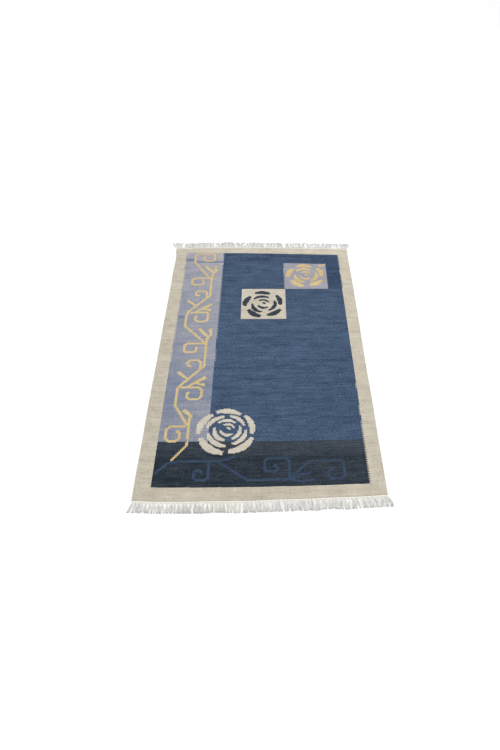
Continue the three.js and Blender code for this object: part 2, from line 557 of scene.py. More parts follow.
# A path with the width at each of its points, even from the first to the last
def taperedStroke(path, widths):
    return np.array(path, dtype=float), np.linspace(*widths, len(path))


def evenStroke(path, width):
    return taperedStroke(path, (width, width))


def vineStrokes():
    lines, leaves = [vine["head"]], [vine["footSprig"]]
    curls = [((0, 0), vine["topCurl"]), ((0, 0), vine["footCurl"])]
    for place, landing in zip(vine["junctions"], vine["landings"]):
        junction = np.array(place)
        bends = junction + np.array(vine["bends"])
        lines.append([place, *bends, landing])
        leaves += [junction + sprig for sprig in vine["sprigs"]]
        leaves += [bends[1] + leaf for leaf in vine["leaves"]]
        curls.append((junction, vine["junctionCurl"]))
        curls += [(bends[0], vine["bendCurl"]), (bends[1], vine["lowCurl"])]
    paths = lines + [np.array(place) + squareCurl(**curl, cut=vine["cut"]) for place, curl in curls]
    strokes = [evenStroke(path, vine["line"]) for path in paths]
    strokes.append(taperedStroke(vine["foot"], vine["footWidths"]))
    return strokes + [taperedStroke(leaf, vine["leafWidths"]) for leaf in leaves]


def scrollStrokes():
    paths = [scroll["stem"], *scroll["sprigs"]]
    paths += [squareCurl(**curl, cut=scroll["cut"]) for curl in scroll["curls"]]
    return [evenStroke(path, scroll["line"]) for path in paths]


# The petals of a ring are crescents. Each runs from s = 0 to 1 at the angle middle + half (2 s - 1),
# with the reach times 1 + spiral (s - 0.5) and the thickness times 0.5 + 0.5 sin(pi s).
def roseOutlines(name):
    rose = roses[name]
    s = np.linspace(0, 1, petalPoints)
    outlines = []
    for reach, count, first, cover, thickness in rose["rings"]:
        for middle in first + 360 / count * np.arange(count):
            angles = middle + 180 / count * cover * (2 * s - 1)
            heavy = np.cos(np.radians(angles - rose["heavySide"]))
            reaches = reach * (1 + rose["spiral"] * (s - 0.5)) * (1 + rose["farther"] * heavy)
            widths = thickness * (0.5 + 0.5 * np.sin(np.pi * s)) * (1 + rose["thicker"] * heavy)
            outlines.append(petalOutline(rose["heart"], angles, reaches, widths, rose["stretch"]))
    return outlines


# Whether places lie inside a stroke, which is straight between its points, round at its joints and
# square at its ends: no farther from the nearest point of a leg than half the width there
def insideStroke(path, widths, x, y):
    inside = np.zeros(x.shape, dtype=bool)
    last = len(path) - 2
    for k in range(len(path) - 1):
        step = path[k + 1] - path[k]
        length = np.linalg.norm(step)
        way = step / length
        fromX = x - path[k][0]
        fromY = y - path[k][1]
        along = fromX * way[0] + fromY * way[1]
        across = fromY * way[0] - fromX * way[1]
        half = (widths[k] + (widths[k + 1] - widths[k]) * np.clip(along / length, 0, 1)) / 2
        beyond = np.maximum(np.maximum(-along, along - length), 0)
        cutOff = ((k == 0) & (along < 0)) | ((k == last) & (along > length))
        inside |= (np.hypot(across, beyond) < half) & ~cutOff
    return inside


# Whether places lie inside an outline: a line drawn sideways from the place crosses it an odd number
# of times
def insideOutline(corners, x, y):
    inside = np.zeros(x.shape, dtype=bool)
    for (x0, y0), (x1, y1) in zip(corners, np.roll(corners, -1, axis=0)):
        spans = (y0 > y) != (y1 > y)
        crossing = x0 + (y - y0) * (x1 - x0) / np.where(spans, y1 - y0, 1)
        inside ^= spans & (x < crossing)
    return inside


# The figures in the order they cover each other, each with its wool, strokes and outlines
def figures():
    leaf = taperedStroke(cornerLeaf["path"], cornerLeaf["widths"])
    return [
        ("gold", [*vineStrokes(), leaf], roseOutlines("gold")),
        ("ink", [], roseOutlines("dark")),
        ("scroll", scrollStrokes(), []),
        ("cream", [], roseOutlines("cream")),
    ]


# The number of the figure that is worked at each place of the drawing, in metres, and 0 where none is
def figureNumbers(places):
    x, y = places.T / mm
    numbers = np.zeros(len(places))
    for number, (_, strokes, outlines) in enumerate(figures(), start=1):
        for stroke in strokes:
            numbers[insideStroke(*stroke, x, y)] = number
        for corners in outlines:
            numbers[insideOutline(corners, x, y)] = number
    return numbers


# The woven cloth. Between the borders one face is one stitch of a figure, two warps wide and three
# rows high.
cloth = {
    "thickness": 0.004,
    "stitch": (0.007, 0.014 / 3),
    "columns": (11, 161),
    "rows": (13, 417),
    "sideLines": (0, 0.0005, 0.0013, 0.0024, 0.0036, 0.005, 0.0075, 0.022, 0.040, 0.058),
    "endLines": (0, 0.0005, 0.0012, 0.0022, 0.004, 0.017, 0.031, 0.045),
    "cordRadius": 0.0024,
    "cordSwell": 1.14,
    "cordGroove": 0.86,
    "endRadius": 0.002,
    "cordMarks": (0, 1, 2.1, 3.2),
    "slowLift": 0.0008,
    "slowWaves": [(7.1, 3.3, 0.6), (-5.2, 6.4, 2.1)],
    "edgeLift": 0.0012,
    "edgeWave": (4.0, 13.0),
    "edgePower": 6,
    "liftFade": 0.12,
}


# Grid lines: a border's own at either end, and between them whole stitches from the first to the last
def gridLines(length, borderLines, stitch, firstAndLast):
    border = np.array(borderLines)
    first, last = firstAndLast
    return np.concatenate([border, np.arange(first, last + 1) * stitch, (length - border)[::-1]])


# A Coons patch over shares u across and v along: each edge's place by its own pull, less each
# corner's by the pulls of the two edges that meet there
def patch(shape, u, v, pull):
    shares = {"near": u, "right": v, "far": 1 - u, "left": 1 - v}
    place = sum(pull[name][..., None] * edgePlaces(shape, name, t) for name, t in shares.items())
    names = list(shares)
    for name, before in zip(names, [names[-1], *names[:-1]]):
        corner = cornerPlace(shape, shape["edges"][name]["ends"][0])
        place = place - (pull[name] * pull[before])[..., None] * corner
    return place


# The floor place of a point of the drawing: the pattern's patch, and beside the edges the way from
# its edges to the cloth's own, with a pull that fades over the border
def floorPlaces(x, y):
    u, v = x / outline["width"], y / outline["length"]
    evenPull = {"near": 1 - v, "right": u, "far": v, "left": 1 - u}
    inward = {"near": y, "right": outline["width"] - x, "far": outline["length"] - y, "left": x}
    fading = {name: np.clip(1 - inward[name] / reach, 0, 1) for name, reach in borderReach.items()}
    pattern = patch(patternShape, u, v, evenPull)
    return pattern + patch(outline, u, v, fading) - patch(patternShape, u, v, fading) + floorShift


# Half the thickness: round at the selvedge, whose outer warps make a thin cord with a groove beside
# it, and round at both ends
def halfThickness(x, y):
    fromSide = np.minimum(x, outline["width"] - x)
    fromEnd = np.minimum(y, outline["length"] - y)
    radius = cloth["cordRadius"]
    rounded = np.sqrt(np.clip(1 - (1 - np.minimum(fromSide / radius, 1)) ** 2, 0, 1))
    swells = [cloth["cordSwell"], cloth["cordSwell"], cloth["cordGroove"], 1]
    swell = np.interp(fromSide, np.array(cloth["cordMarks"]) * radius, swells)
    endRound = np.sqrt(np.clip(1 - (1 - np.minimum(fromEnd / cloth["endRadius"], 1)) ** 2, 0, 1))
    return cloth["thickness"] / 2 * rounded * swell * endRound


# How far the cloth stands off the floor: slow waves, and a ripple that grows towards the long edges
def clothLift(x, y):
    waves = [np.sin(across * x + along * y + start) for across, along, start in cloth["slowWaves"]]
    slow = len(waves) + sum(waves)
    nearSide = np.abs(2 * x / outline["width"] - 1) ** cloth["edgePower"]
    across, along = cloth["edgeWave"]
    ripple = nearSide * (1 + np.sin(along * y + across * x)) / 2
    fromEnd = np.minimum(y, outline["length"] - y)
    lift = cloth["slowLift"] * slow / (2 * len(waves)) + cloth["edgeLift"] * ripple
    return lift * np.clip(fromEnd / cloth["liftFade"], 0, 1) ** 2


def quads(index):
    corners = [index[:-1, :-1], index[:-1, 1:], index[1:, 1:], index[1:, :-1]]
    return np.stack(corners, axis=-1).reshape(-1, 4)


# Faces over every second line of a grid, which take in each point of its rim: quads inside, and along
# each side, one turn of the grid after the other, a corner and then faces with one more point
def coarseFaces(index):
    groups = [quads(index[2:-2:2, 2:-2:2])]
    for turns in range(4):
        turned = np.rot90(index, turns)
        rim, inner = turned[0], turned[2]
        groups.append(np.array([[*rim[:3], inner[2], inner[0], turned[1, 0]]]))
        corners = [rim[2:-4:2], rim[3:-3:2], rim[4:-2:2], inner[4:-2:2], inner[2:-4:2]]
        groups.append(np.stack(corners, axis=-1))
    return groups


# The upper face is the middle line plus half the thickness, and the lower one less it, never under
# the floor, with half the lines. The two share their rim.
def makeCloth():
    columnStitch, rowStitch = cloth["stitch"]
    acrossLines = gridLines(outline["width"], cloth["sideLines"], columnStitch, cloth["columns"])
    alongLines = gridLines(outline["length"], cloth["endLines"], rowStitch, cloth["rows"])
    x, y = np.meshgrid(acrossLines, alongLines)
    ground = floorPlaces(x, y)
    half = halfThickness(x, y)
    middle = clothLift(x, y) + cloth["thickness"] / 2
    upper = np.dstack([ground, middle + half])
    lower = np.dstack([ground, np.maximum(middle - half, 0)])
    upperIndex = np.arange(x.size).reshape(x.shape)
    lowerIndex = upperIndex.copy()
    inner = (slice(2, -2, 2), slice(2, -2, 2))
    lowerIndex[inner] = x.size + np.arange(lowerIndex[inner].size).reshape(lowerIndex[inner].shape)
    drawn = np.dstack([x, y])
    places = np.concatenate([drawn.reshape(-1, 2), drawn[inner].reshape(-1, 2)])
    points = np.concatenate([upper.reshape(-1, 3), lower[inner].reshape(-1, 3)])
    groups = [quads(upperIndex)] + [group[:, ::-1] for group in coarseFaces(lowerIndex)]
    piece = makePiece("wovenRug", points, [face for group in groups for face in group.tolist()])
    addDrawing(piece, places)
    middles = np.concatenate([places[group].mean(axis=1) for group in groups])
    addAttribute(piece, "figure", "FLOAT", figureNumbers(middles), "FACE")
    return piece


wovenRug = makeCloth()
print("cloth made:", len(wovenRug.data.polygons), "faces")

# The dyed wools: a dark and a light shade, the growth of the light one's share per metre to the right,
# how strongly each noise moves it, and the dye lot
woolColumns = ("dark", "light", "tilt", "noises", "lot")
woolRows = {
    "border": ("#a39b8b", "#d5cdbd", 0.06, (0.7, 0.6, 1.2, 0.8), 1.0),
    "navy": ("#1f2f47", "#536883", -0.04, (1.05, 0.7, 1.5, 0.6), 3.0),
    "lilac": ("#6e798f", "#a6a3a6", 0.7, (0.9, 0.7, 1.5, 0.7), 5.0),
    "charcoal": ("#17222d", "#414952", 0.25, (1.4, 0.8, 1.9, 0.8), 7.0),
    "gold": ("#ab8f56", "#dfcd9f", 0.0, (0.4, 0.3, 1.2, 0.6), 9.0),
    "cream": ("#a59c8a", "#dad3c5", 0.0, (0.4, 0.4, 1.2, 0.7), 11.0),
    "scroll": ("#202f43", "#405269", 0.0, (0.6, 0.3, 1.2, 0.8), 13.0),
    "ink": ("#18212c", "#3c4652", 0.0, (0.6, 0.3, 1.2, 0.5), 15.0),
    "slate": ("#555f78", "#828a9f", 0.0, (0.6, 0.3, 1.0, 0.4), 17.0),
    "lilacPanel": ("#717486", "#a9a5a9", 0.2, (0.6, 0.5, 1.2, 0.6), 19.0),
    "deepNavy": ("#182740", "#3f5470", 0.0, (1.0, 0.8, 1.6, 0.7), 23.0),
}
wools = {name: dict(zip(woolColumns, row)) for name, row in woolRows.items()}

# The share of the light shade at named places along the drawing in millimetres, an even half elsewhere
even = [(0, 0.5), (2000, 0.5)]
lightShares = {
    "border": [(0, 0.50), (80, 0.48), (900, 0.42), (1800, 0.42), (1950, 0.46), (2000, 0.48)],
    "navy": [(70, 0.5), (350, 0.52), (500, 0.47), (700, 0.48), (1350, 0.51), (1450, 0.44)]
    + [(1700, 0.42), (1830, 0.4), (1846, 0.3), (2000, 0.3)],
    "lilac": [(340, 0.64), (560, 0.62), (620, 0.49), (740, 0.38), (790, 0.60), (1000, 0.76)]
    + [(1300, 0.73), (1550, 0.84), (1800, 0.90), (1900, 1.0)],
    "charcoal": [(70, 0.31), (240, 0.28), (275, 0.60), (340, 0.63)],
    "gold": [(0, 0.5), (1500, 0.48), (1700, 0.40), (2000, 0.40)],
    "cream": [(0, 0.56), (600, 0.56), (1200, 0.40), (2000, 0.40)],
}

# Blocks of colour in the order they cover each other: the wool, and then the columns of the block
# group, the first four in millimetres of the drawing
blocks = [
    ("navy", 84, 1125, 78, 1946, 0.0035, -0.010, -0.020),
    ("deepNavy", 1036, 1125, 1546, 1946, 0.0035, 0, -0.020),
    ("lilac", 84, 336, 340, 1946, 0.0035, 0, -0.020),
    ("lilac", 77, 88, 1740, 1930, 0.0035, 0, 0),
    ("slate", 77, 149, 1844, 1874, 0.0035, 0, 0),
    ("slate", 146, 336, 1827, 1844, 0.0035, 0, 0),
    ("slate", 84, 138, 1267, 1286, 0.0035, 0, 0),
    ("charcoal", 84, 1125, 78, 341, 0.0035, -0.010, -0.009),
    ("cream", 477, 757, 1255, 1545, 0, 0, 0),
    ("lilacPanel", 753, 1038, 1546, 1851, 0, 0, -0.036),
]

# How far the edges of the blocks waver and sway, with the pace of each a metre, and a tone's (range,
# least) for each of its parts. The crevice tone is painted shade: darker where the weave's relief is
# low, between the rows.
woolLook = {
    "waver": 0.006,
    "waverPace": 9.0,
    "sway": 0.003,
    "swayPace": 7.0,
    "swayStart": 5.0,
    "rowTone": (0.10, 0.95),
    "creviceShade": (0.36, 0.76),
    "warpTone": (0.12, 0.94),
    "warpPaces": (150.0, 3.0),
    "warpStart": 21.0,
    "relief": 0.0005,
    "bump": 0.7,
    "finish": {
        "Roughness": 0.92,
        "Specular IOR Level": 0.1,
        "Sheen Weight": 0.06,
        "Sheen Roughness": 0.5,
    },
}


# A value that changes evenly from each named place along the drawing to the next
def ramp(tree, along, stops):
    node = addNode(tree, "ShaderNodeValToRGB")
    plug(tree, calc(tree, "DIVIDE", along, outline["length"]), node.inputs[0])
    elements = node.color_ramp.elements
    for k, (place, level) in enumerate(stops):
        share = place * mm / outline["length"]
        element = elements[k] if k < 2 else elements.new(share)
        element.position = share
        element.color = (level, level, level, 1)
    return node.outputs[0]


def makeWoolMaterial():
    material, tree, shader = startMaterial("weftFacedWool")
    drawing = addNode(tree, "ShaderNodeUVMap", uv_map="drawing").outputs[0]
    weave = useGroup(tree, weaveGroup, Drawing=drawing)
    stepped = addNode(tree, "ShaderNodeVectorMath", operation="ADD")
    tree.links.new(drawing, stepped.inputs[0])
    tree.links.new(weave["Cell"], stepped.inputs[1])
    x, y, _ = separate(tree, stepped.outputs[0])
    waverPlace = combine(tree, 0.0, times(tree, y, woolLook["waverPace"]))
    swayPlace = combine(tree, times(tree, x, woolLook["swayPace"]), woolLook["swayStart"])
    waver = calc(tree, "SUBTRACT", noise(tree, waverPlace), 0.5)
    sway = calc(tree, "SUBTRACT", noise(tree, swayPlace), 0.5)
    toothed = calc(tree, "ADD", calc(tree, "MULTIPLY_ADD", waver, woolLook["waver"], x), weave["Tooth"])
    place = combine(tree, toothed, calc(tree, "MULTIPLY_ADD", sway, woolLook["sway"], y))
    drawnX, drawnY, _ = separate(tree, drawing)
    fromMiddle = calc(tree, "SUBTRACT", drawnX, outline["width"] / 2)
    wool = {}
    for name, dye in wools.items():
        share = ramp(tree, drawnY, lightShares.get(name, even))
        bias = calc(tree, "MULTIPLY_ADD", fromMiddle, dye["tilt"], share)
        values = {"Shade A": linear(dye["dark"]), "Shade B": linear(dye["light"])}
        values |= dict(zip(dyeNoises, dye["noises"]))
        used = useGroup(tree, dyeGroup, Drawing=drawing, Bias=bias, Lot=dye["lot"], **values)
        wool[name] = used["Color"]
    color = wool["border"]
    for name, *columns in blocks:
        values = dict(zip(blockColumns, [limit * mm for limit in columns[:4]] + columns[4:]))
        mask = useGroup(tree, blockGroup, Place=place, **values)["Mask"]
        color = mixColor(tree, mask, color, wool[name])
    worked = addNode(tree, "ShaderNodeAttribute", attribute_name="figure").outputs["Fac"]
    for number, (name, _, _) in enumerate(figures(), start=1):
        mask = calc(tree, "COMPARE", worked, float(number), 0.5)
        color = mixColor(tree, mask, color, wool[name])
    fibres = useGroup(tree, fibreGroup, Vector=drawing, Scale=1400.0, Contrast=0.25, Depth=0.00025)
    rowTone = calc(tree, "MULTIPLY_ADD", weave["Row Tone"], *woolLook["rowTone"])
    # Painted shade: darker where the weave's relief is low, between rows and between swells
    creviceShade = calc(tree, "MULTIPLY_ADD", weave["Relief"], *woolLook["creviceShade"])
    paceX, paceY = woolLook["warpPaces"]
    warpX, warpY = times(tree, drawnX, paceX), times(tree, drawnY, paceY)
    warpPlace = combine(tree, warpX, warpY, woolLook["warpStart"])
    warpTone = calc(tree, "MULTIPLY_ADD", noise(tree, warpPlace), *woolLook["warpTone"])
    shade(tree, shader, color, times(tree, rowTone, creviceShade, warpTone, fibres["Tone"]))
    height = calc(tree, "MULTIPLY_ADD", weave["Relief"], woolLook["relief"], fibres["Height"])
    addBump(tree, shader, height, woolLook["bump"])
    typeIn(shader, woolLook["finish"])
    return material


wovenRug.data.materials.append(makeWoolMaterial())
print("wool ready")

# Headers and fringe
header = {
    "gap": 0.00032,
    "depth": 0.007,
    "height": 0.003,
    "steps": 1050,
    "sides": 10,
    "turn": 0.0095,
    "lobe": 0.14,
    "inset": 1.02,
    "rowStep": 1.96,
}

# A bunch has a few strands, and a strand a few yarns. The radii of a yarn and the widths of a bunch
# and of a strand go with the share of the length: (share, value).
fringe = {
    "bunches": 63,
    "strands": 3,
    "yarns": 4,
    "tipSpread": 0.0044,
    "rootDepth": 0.0045,
    "steps": 14,
    "sides": 5,
    "radii": [(0, 0.00105), (0.35, 0.00125), (0.85, 0.0012), (1, 0.0008)],
    "strandWidths": [(0, 1), (0.14, 1), (0.45, 0.78), (0.8, 0.9), (1, 1.2)],
    "squeezeRange": (0.1, 2.0),
    "cornerBunches": 3,
    "cornerSqueeze": 0.3,
    "cornerCalm": 0.2,
    "cornerFan": 0.6,
    "leanPower": 1.3,
    "apartBy": 0.4,
    "wobbleBy": 0.2,
    "wobbleTurns": (2.5, 6.5),
    "yarnTurns": (4, 10),
    "radiusRange": (0.88, 1.08),
    "tintSpreads": (0.22, 0.10),
    "creamRange": (0.4, 1.0),
    "yarnStep": 0.0015,
    "layer": 0.0015,
    "tipRise": 0.8,
    "liftShares": [(0, 1), (0.8, 1), (1, 0.5)],
    "rippleTurn": 0.9,
    "rippleShare": 0.6,
    "curlTurn": 1.7,
    "lengthTurn": 5.6,
    "fibres": 2,
    "fibreLength": 0.007,
    "fibreRange": (0.5, 1.0),
    "fibreSides": 3,
    "fibreRadius": 0.00022,
    "fibreTaper": (1, 1, 0.8, 0.4),
    "fibreStart": 0.0004,
    "fibreSpread": (0.0016, 0.0016, 0.00056),
}

# Each end's own lie. Thin, cream and grey tell which bunches hang apart and which are creamier or
# greyer, as the middle bunch, how many lie to either side and how strongly.
ends = {
    "near": {
        "seed": 11,
        "length": 0.054,
        "lengthSpreads": (0.0014, 0.0010),
        "bunchWidths": [(0, 1), (0.08, 1), (0.15, 0.52), (0.23, 0.42), (0.32, 0.54), (0.48, 0.88)]
        + [(0.75, 1.02), (1, 1.08)],
        "gather": (1.15, 0.65),
        "splay": (-0.017, 0.021),
        "hooks": (0.8, 2.4),
        "splayReach": 3.5,
        "swayPower": 0.9,
        "sway": 0.0022,
        "swayWaves": 7,
        "curl": 0.0012,
        "uneven": 0.0012,
        "strandLean": 0.0034,
        "wobble": 0.0020,
        "yarnWobble": 0.0006,
        "rise": 0.0012,
        "unlike": 0.3,
        "thin": (22, 4, 0.18),
        "cream": (20, 7, 0.8),
        "grey": (15, 4, 0.4),
    },
    "far": {
        "seed": 23,
        "length": 0.058,
        "lengthSpreads": (0.0040, 0.0025),
        "bunchWidths": [(0, 1), (0.2, 0.97), (0.5, 0.88), (1, 0.88)],
        "gather": (1, 1),
        "splay": (-0.020, 0.032),
        "hooks": (2.6, 2.5),
        "splayReach": 3.5,
        "swayPower": 1.3,
        "sway": 0.004,
        "swayWaves": 5,
        "curl": 0.0045,
        "uneven": 0.0035,
        "strandLean": 0.0048,
        "wobble": 0.0045,
        "yarnWobble": 0.0010,
        "rise": 0.0026,
        "unlike": 0.3,
        "thin": (31, 90, 0.05),
        "cream": (50, 8, 0.3),
        "grey": (34, 4, 0.15),
    },
}


# Tubes carried along many paths at once. The section turns with the ply: its radius is
# radius * (1 + lobe * cos(2 (angle - turned))), on the level across the path and on the upright. The
# points come with their twist: the cosine and sine of their angle, and the length run so far.
def tubes(paths, radii, sides, lobe=0.0, turned=None, squash=1.0, poleReach=0.4):
    count, steps, _ = paths.shape
    tangent = np.gradient(paths, axis=1)
    tangent /= np.linalg.norm(tangent, axis=-1, keepdims=True)
    across = np.cross([0.0, 0.0, 1.0], tangent)
    across /= np.linalg.norm(across, axis=-1, keepdims=True)
    upright = np.cross(tangent, across)
    angle = np.arange(sides) * 2 * np.pi / sides
    turn = np.zeros((count, steps)) if turned is None else turned
    swell = 1 + lobe * np.cos(2 * (angle - turn[..., None]))
    reach = radii[..., None] * swell
    ring = (
        paths[:, :, None]
        + (reach * np.cos(angle))[..., None] * across[:, :, None]
        + (reach * np.sin(angle) * squash)[..., None] * upright[:, :, None]
    )
    startPole = paths[:, 0] - tangent[:, 0] * radii[:, :1] * poleReach
    endPole = paths[:, -1] + tangent[:, -1] * radii[:, -1:] * poleReach
    poles = np.stack([startPole, endPole], axis=1)
    points = np.concatenate([ring.reshape(count, -1, 3), poles], axis=1)
    index = np.arange(steps * sides).reshape(steps, sides)
    rolled = np.roll(index, -1, axis=1)
    wall = np.stack([index[:-1], rolled[:-1], rolled[1:], index[1:]], axis=-1).reshape(-1, 4)
    pole = steps * sides
    startCap = np.stack([rolled[0], index[0], np.full(sides, pole)], axis=-1)
    endCap = np.stack([index[-1], rolled[-1], np.full(sides, pole + 1)], axis=-1)
    size = pole + 2
    offsets = (np.arange(count) * size)[:, None, None]
    allWalls = (wall[None] + offsets).reshape(-1, 4).tolist()
    allCaps = (np.concatenate([startCap, endCap])[None] + offsets).reshape(-1, 3).tolist()
    run = np.cumsum(np.linalg.norm(np.diff(paths, axis=1, prepend=paths[:, :1]), axis=-1), axis=1)
    around = np.empty((count, steps, sides, 3))
    around[..., 0] = np.cos(angle)
    around[..., 1] = np.sin(angle)
    around[..., 2] = run[:, :, None]
    tips = np.zeros((count, 2, 3))
    tips[:, 1, 2] = run[:, -1]
    twist = np.concatenate([around.reshape(count, -1, 3), tips], axis=1).reshape(-1, 3)
    return points.reshape(-1, 3), allWalls + allCaps, twist


# Several sets of tubes as one mesh
def joined(parts):
    points, faces, base = [], [], 0
    for partPoints, partFaces in parts:
        points.append(partPoints)
        faces += [[corner + base for corner in face] for face in partFaces]
        base += len(partPoints)
    return np.concatenate(points), faces


# Two cotton cords twined beside each other with opposite twist, along the end of the cloth
def makeHeader(name, edgeName):
    t = np.linspace(0, 1, header["steps"])
    radius = header["depth"] / 4
    squash = header["height"] / 2 / radius
    run = t * outline["width"]
    parts = []
    for row, hand in ((0, 1), (1, -1)):
        out = header["gap"] + radius * (header["inset"] + row * header["rowStep"])
        level = np.full(t.shape, header["height"] / 2)
        path = np.column_stack([edgePlaces(outline, edgeName, t, out) + floorShift, level])
        radii = np.full((1, len(t)), radius * (1 - header["lobe"]))
        turned = (hand * 2 * np.pi * run / header["turn"])[None]
        points, faces, _ = tubes(path[None], radii, header["sides"], header["lobe"], turned, squash)
        parts.append((points, faces))
    points, faces = joined(parts)
    points[:, 2] = np.clip(points[:, 2], 0, None)
    return makePiece(name, points, faces)


# How far each bunch leans along its length: the splay of both ends, which dies away bunch by bunch
# and goes with sin(hook * share), and slow waves with a ripple between them
def bunchLean(end, bunch, share):
    numbers = (bunch, fringe["bunches"] - 1 - bunch)
    nearness = [np.exp(-((number / end["splayReach"]) ** 2))[:, None] for number in numbers]
    turns = 2 * np.pi * end["swayWaves"] * bunch / (fringe["bunches"] - 1)
    waves = (np.sin(turns) + fringe["rippleShare"] * np.sin(bunch * fringe["rippleTurn"]))[:, None]
    lean = end["sway"] * waves * (1 - np.maximum(*nearness)) * share ** end["swayPower"]
    for near, splay, hook in zip(nearness, end["splay"], end["hooks"]):
        lean = lean + splay * near * np.sin(hook * share) / math.sin(min(hook, math.pi / 2))
    return lean


# How strongly bunches near a named one are meant: amount * exp(-((bunch - middle) / reach)^2)
def bunchGroup(bunch, group):
    middle, reach, amount = group
    return amount * np.exp(-(((bunch - middle) / reach) ** 2))


# The value at a share of the length, which changes evenly from each named share to the next
def levelAt(share, stops):
    places, values = np.array(stops).T
    return np.interp(share, places, values)


# The yarns of one end, each from inside the header outwards by length * share. Sideways a yarn keeps
# its place in the strand, and the strand its own in the bunch, both narrowing and widening along the
# way. The bunch leans by lean * share^power and curls by sin(pi share), the strand leans and wobbles
# on its own, and the yarn a little too. Every second yarn lies in the upper layer, and strands rise
# by sin(pi share)^2 where they cross.
def makeYarns(name, edgeName):
    end = ends[edgeName]
    draw = np.random.default_rng(end["seed"])
    bunchCount, strandCount, yarnCount = fringe["bunches"], fringe["strands"], fringe["yarns"]
    strandTotal = bunchCount * strandCount
    bunch = np.repeat(np.arange(bunchCount, dtype=float), strandCount * yarnCount)
    strand = np.repeat(np.tile(np.arange(strandCount), bunchCount), yarnCount)
    yarn = np.tile(np.arange(yarnCount), strandTotal)
    count = len(bunch)

    def perStrand(low, high):
        return np.repeat(draw.uniform(low, high, strandTotal), yarnCount)[:, None]

    def scatter(perStrandSpread, perYarnSpread):
        ofStrand = np.repeat(draw.normal(0, perStrandSpread, strandTotal), yarnCount)
        return ofStrand + draw.normal(0, perYarnSpread, strandTotal * yarnCount)

    pitch = (outline["width"] - 2 * fringe["tipSpread"]) / bunchCount
    t = ((bunch + 0.5) * pitch + fringe["tipSpread"]) / outline["width"]
    rootOut = header["gap"] + header["depth"] - fringe["rootDepth"]
    root = edgePlaces(outline, edgeName, t, rootOut) + floorShift
    _, _, chordWay, outward = edgeFrame(outline, edgeName)
    share = np.linspace(0, 1, fringe["steps"])[None]
    uneven = end["uneven"] * np.sin(bunch * fringe["lengthTurn"]) + scatter(*end["lengthSpreads"])
    length = fringe["rootDepth"] + end["length"] + uneven
    fromCorner = np.minimum(bunch, bunchCount - 1 - bunch)[:, None]
    atCorner = fromCorner < fringe["cornerBunches"]
    gather = np.linspace(*end["gather"], bunchCount) + draw.normal(0, end["unlike"], bunchCount)
    squeeze = np.repeat(np.clip(gather, *fringe["squeezeRange"]), strandCount * yarnCount)[:, None]
    squeeze = np.where(atCorner, fringe["cornerSqueeze"], squeeze)
    fan = 1 + fringe["cornerFan"] * np.exp(-(fromCorner**2)) * share
    apart = bunchGroup(bunch, end["thin"])[:, None] * np.clip(share / fringe["apartBy"], 0, 1)
    bunchWidth = 1 - (1 - levelAt(share, end["bunchWidths"])) * squeeze - apart
    strandPlace = (strand - (strandCount - 1) / 2)[:, None] * pitch / strandCount
    yarnPlace = (yarn - (yarnCount - 1) / 2)[:, None] * fringe["yarnStep"]
    sideways = strandPlace * bunchWidth * fan + yarnPlace * levelAt(share, fringe["strandWidths"])
    sideways += end["curl"] * np.sin(np.pi * share) * np.sin(bunch * fringe["curlTurn"])[:, None]
    sideways += bunchLean(end, bunch, share)
    ownLean = np.repeat(draw.normal(0, end["strandLean"], strandTotal), yarnCount)[:, None]
    sideways += np.where(atCorner, fringe["cornerCalm"], 1) * ownLean * share ** fringe["leanPower"]
    phase = perStrand(0, 2 * np.pi)
    sideways += end["wobble"] * share * np.sin(phase + perStrand(*fringe["wobbleTurns"]) * share)
    phase = draw.uniform(0, 2 * np.pi, (count, 1))
    turns = draw.uniform(*fringe["yarnTurns"], (count, 1))
    ownWobble = end["yarnWobble"] * np.sin(phase + turns * share)
    sideways += ownWobble * np.clip(share / fringe["wobbleBy"], 0, 1)
    radii = levelAt(share, fringe["radii"]) * draw.uniform(*fringe["radiusRange"], (count, 1))
    layer = (yarn % 2)[:, None] * fringe["layer"]
    lift = perStrand(0, end["rise"]) * np.sin(np.pi * share) ** 2 + layer
    tipLift = end["rise"] * fringe["tipRise"] * draw.uniform(0, 1, (count, 1)) ** 3 * share**3
    level = radii + lift * levelAt(share, fringe["liftShares"]) + tipLift
    outwards = (length[:, None] * share)[..., None] * outward
    ground = root[:, None] + sideways[..., None] * chordWay + outwards
    paths = np.dstack([ground, level])
    points, faces, twist = tubes(paths, radii, fringe["sides"])
    tint = 0.5 + bunchGroup(bunch, end["grey"]) + scatter(*fringe["tintSpreads"])
    tint = np.clip(tint, 0, 1)
    cream = bunchGroup(bunch, end["cream"]) * draw.uniform(*fringe["creamRange"], count)
    alongYarn = np.concatenate([np.repeat(share[0], fringe["sides"]), [0, 1]])
    fibrePoints, fibreFaces, fibreTwist = makeFibres(paths, draw)
    looks = []
    for alongOne in (alongYarn, np.ones(len(fibrePoints) // count)):
        size = len(alongOne)
        columns = [np.repeat(tint, size), np.repeat(cream, size), np.tile(alongOne, count)]
        looks.append(np.stack(columns, axis=1))
    points, faces = joined([(points, faces), (fibrePoints, fibreFaces)])
    points[:, 2] = np.clip(points[:, 2], 0, None)
    piece = makePiece(name, points, faces)
    addAttribute(piece, "look", "FLOAT_VECTOR", np.concatenate(looks))
    addAttribute(piece, "twist", "FLOAT_VECTOR", np.concatenate([twist, fibreTwist]))
    return piece


